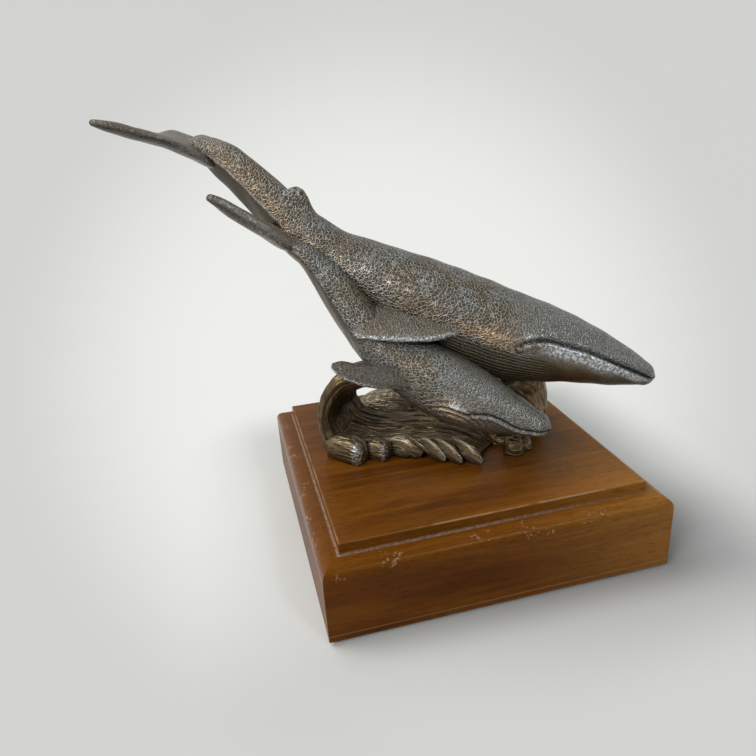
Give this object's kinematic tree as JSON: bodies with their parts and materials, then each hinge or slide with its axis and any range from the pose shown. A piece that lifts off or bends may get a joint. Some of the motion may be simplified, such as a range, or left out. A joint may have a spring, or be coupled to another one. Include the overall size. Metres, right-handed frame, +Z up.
{
  "type": "whale figurine",
  "caption": "Cast whale and calf swimming down over a curling wave, on a square stepped wooden plinth.",
  "frame": {"origin": "centre of the face it rests on, the underside of the felt", "axes": "+Z up; +X right along the plinth's front edge; +Y away from the viewer; the whales swim down towards +X and the viewer"},
  "size_m": [0.2171, 0.1855, 0.1896],
  "materials": {
    "plinth_wood": "stained and waxed, glossy",
    "felt": "matte felt",
    "screw_steel": "plated",
    "washer_steel": "plated",
    "wave_bronze": "dark brown patina, satin",
    "mother_bronze": "dark grey-brown patina, satin",
    "calf_bronze": "dark grey patina, satin",
    "pin_brass": "plain"
  },
  "bodies": {
    "root": {"wood_plinth": "plinth_wood", "felt_pad": "felt", "mounting_screws": "screw_steel", "mounting_washers": "washer_steel", "wave_casting": "wave_bronze", "mother_whale": "mother_bronze", "mother_near_flipper": "mother_bronze", "mother_far_flipper": "mother_bronze", "calf_whale": "calf_bronze", "calf_near_flipper": "calf_bronze", "calf_far_flipper": "calf_bronze", "mother_dowel_pin": "pin_brass", "calf_dowel_pin": "pin_brass"}
  },
  "joints": []
}
